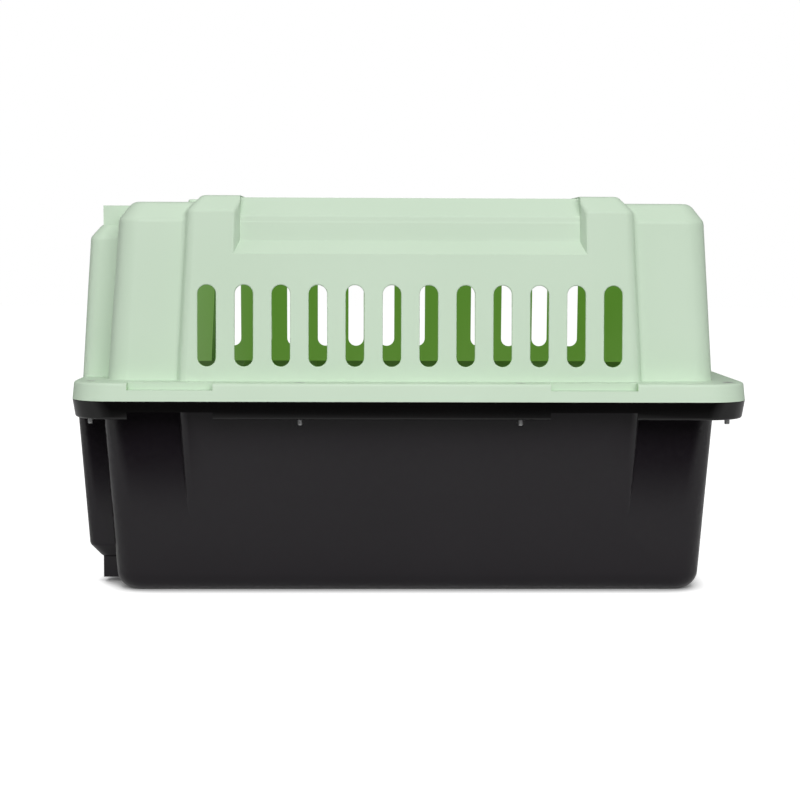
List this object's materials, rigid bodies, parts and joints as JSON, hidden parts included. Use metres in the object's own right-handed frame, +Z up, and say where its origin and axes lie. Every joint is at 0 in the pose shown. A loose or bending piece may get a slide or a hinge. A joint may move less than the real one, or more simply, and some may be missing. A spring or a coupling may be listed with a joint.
{
  "type": "pet carrier",
  "caption": "Two-part hard plastic pet carrier with slotted side walls, a wire door with a pinch latch at one end and a fold-down carry handle.",
  "frame": {"origin": "centre of the footprint, on the surface that the carrier stands on", "axes": "+X from the door end to the back wall, +Y from the near long side to the far one, +Z up"},
  "size_m": [0.4906, 0.32, 0.2897],
  "materials": {
    "mint_plastic": "moulded polypropylene, satin",
    "black_plastic": "moulded polypropylene, satin",
    "latch_plastic": "moulded plastic, satin",
    "handle_plastic": "moulded polypropylene, satin",
    "door_wire": "bright plated wire",
    "zinc_steel": "zinc plated"
  },
  "bodies": {
    "carrier": {"top_shell": "mint_plastic", "bottom_shell": "black_plastic", "rim_screws": "zinc_steel", "rim_washers": "zinc_steel", "rim_nuts": "zinc_steel", "handle_pins": "zinc_steel"},
    "door": {"door_frame": "door_wire", "door_crossbars": "door_wire", "door_uprights": "door_wire", "hinge_rod": "door_wire", "rod_guides": "door_wire", "latch_front": "latch_plastic", "latch_back": "latch_plastic", "latch_case_screws": "zinc_steel", "upper_latch_spring": "zinc_steel", "lower_latch_spring": "zinc_steel"},
    "upper_latch": {"upper_latch_rod": "door_wire", "upper_latch_slide": "latch_plastic"},
    "lower_latch": {"lower_latch_rod": "door_wire", "lower_latch_slide": "latch_plastic"},
    "handle": {"carry_handle": "handle_plastic"}
  },
  "joints": [
    {"name": "door_swing", "type": "hinge", "parent": "carrier", "child": "door", "pos_m": [-0.219, -0.0765, 0.1445], "axis": [0, 0, 1], "range_deg": [0, 95]},
    {"name": "upper_latch_slide", "type": "slide", "parent": "door", "child": "upper_latch", "axis": [0, 0, 1], "range_m": [0, 0.012], "deforming": ["upper_latch_spring"]},
    {"name": "lower_latch_slide", "type": "slide", "parent": "door", "child": "lower_latch", "axis": [0, 0, -1], "range_m": [0, 0.012], "deforming": ["lower_latch_spring"]},
    {"name": "handle_fold", "type": "hinge", "parent": "carrier", "child": "handle", "pos_m": [0, 0, 0.2812], "axis": [1, 0, 0], "range_deg": [0, 180]}
  ]
}
